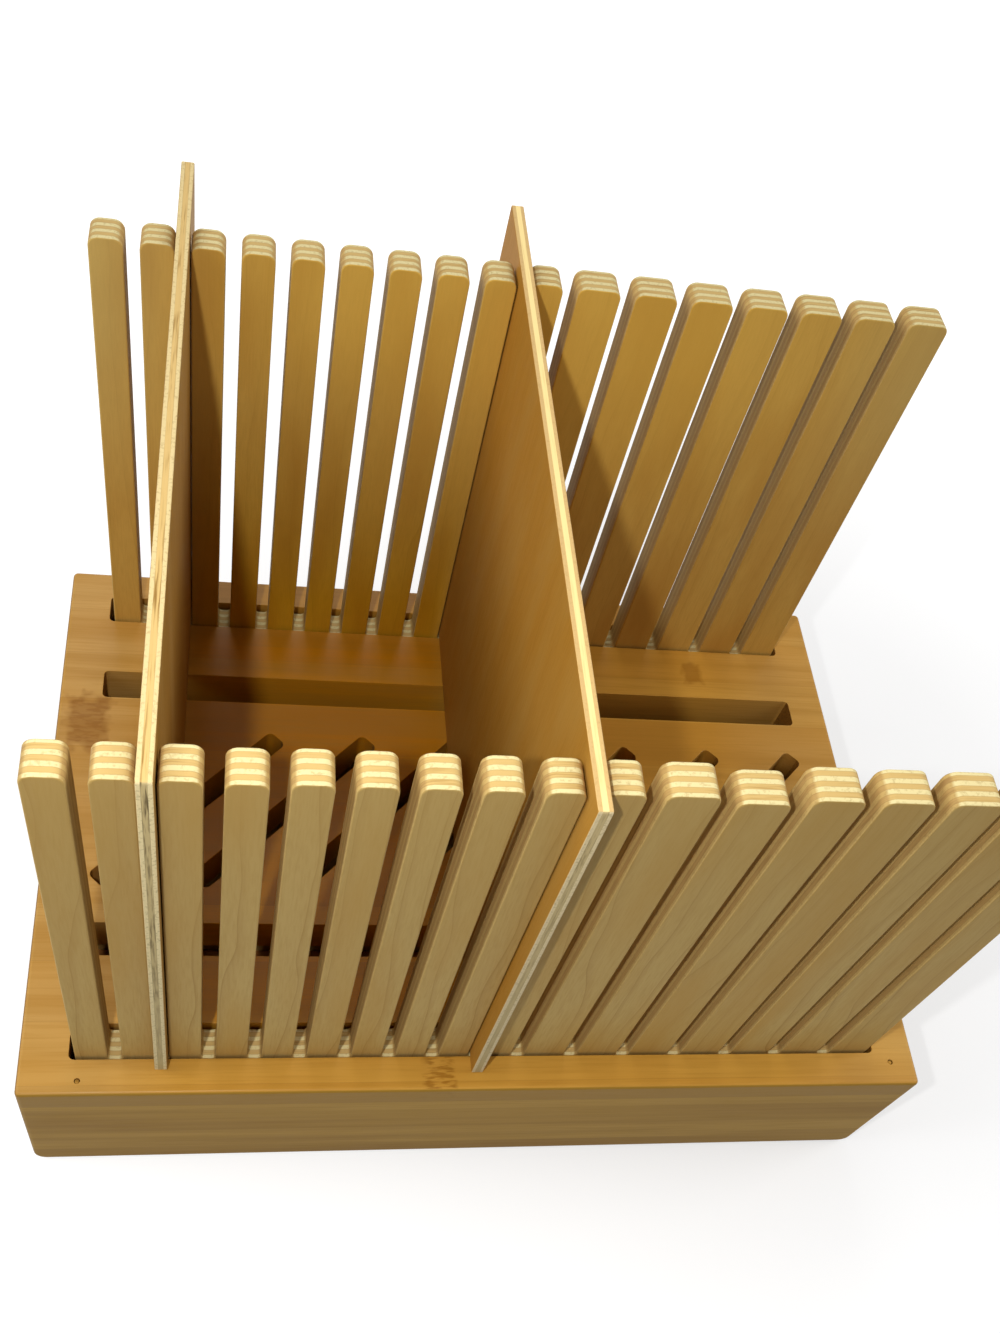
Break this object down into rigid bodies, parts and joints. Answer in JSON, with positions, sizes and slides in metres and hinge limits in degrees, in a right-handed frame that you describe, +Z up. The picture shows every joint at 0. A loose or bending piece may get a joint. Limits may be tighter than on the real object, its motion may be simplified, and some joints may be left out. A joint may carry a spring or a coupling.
{
  "type": "bread slicer guide",
  "caption": "Wooden bread slicing guide: two upright slotted combs on a hollow base with slanted crumb slots, thin divider boards and a crumb drawer below.",
  "frame": {"origin": "centre of the base's underside", "axes": "+X along the base towards its right end, where the drawer leaves and the fingers are wide; +Y from the front comb to the back comb; +Z up"},
  "size_m": [0.2656, 0.2029, 0.2049],
  "materials": {
    "bamboo": "clear satin lacquer over pressed bamboo strips",
    "bamboo_wall": "clear satin lacquer over pressed bamboo strips",
    "comb_plywood": "sanded plywood, seven plies, light lacquer",
    "divider_plywood": "sanded thin plywood, three plies",
    "drawer_board": "plain sanded wood",
    "pin_steel": "dark blued steel brad"
  },
  "bodies": {
    "base": {"deck_board": "bamboo", "front_wall": "bamboo_wall", "back_wall": "bamboo_wall", "left_end_wall": "bamboo_wall", "right_end_wall": "bamboo_wall", "bottom_board": "bamboo_wall", "comb_guide_front": "drawer_board", "comb_guide_back": "drawer_board", "runner_front": "drawer_board", "runner_back": "drawer_board", "deck_pin_left": "pin_steel", "deck_pin_right": "pin_steel"},
    "crumb_drawer": {"drawer_front": "drawer_board", "drawer_inner_end": "drawer_board", "drawer_side_front": "drawer_board", "drawer_side_back": "drawer_board", "drawer_floor": "drawer_board"},
    "front_comb_body": {"front_comb": "comb_plywood"},
    "back_comb_body": {"back_comb": "comb_plywood"},
    "left_divider_body": {"left_divider": "divider_plywood"},
    "right_divider_body": {"right_divider": "divider_plywood"}
  },
  "joints": [
    {"name": "drawer_slide", "type": "slide", "parent": "base", "child": "crumb_drawer", "axis": [1, 0, 0], "range_m": [0, 0.257]},
    {"name": "front_comb_lift", "type": "slide", "parent": "base", "child": "front_comb_body", "axis": [0, 0, 1], "range_m": [0, 0.052]},
    {"name": "back_comb_lift", "type": "slide", "parent": "base", "child": "back_comb_body", "axis": [0, 0.0358, 0.9994], "range_m": [0, 0.052]},
    {"name": "left_divider_lift", "type": "slide", "parent": "front_comb_body", "child": "left_divider_body", "axis": [0, 0, 1], "range_m": [0, 0.146]},
    {"name": "right_divider_lift", "type": "slide", "parent": "front_comb_body", "child": "right_divider_body", "axis": [0, 0, 1], "range_m": [0, 0.146]}
  ],
  "couplings": [
    {"joint": "back_comb_lift", "follows": "front_comb_lift", "ratio": 1}
  ]
}
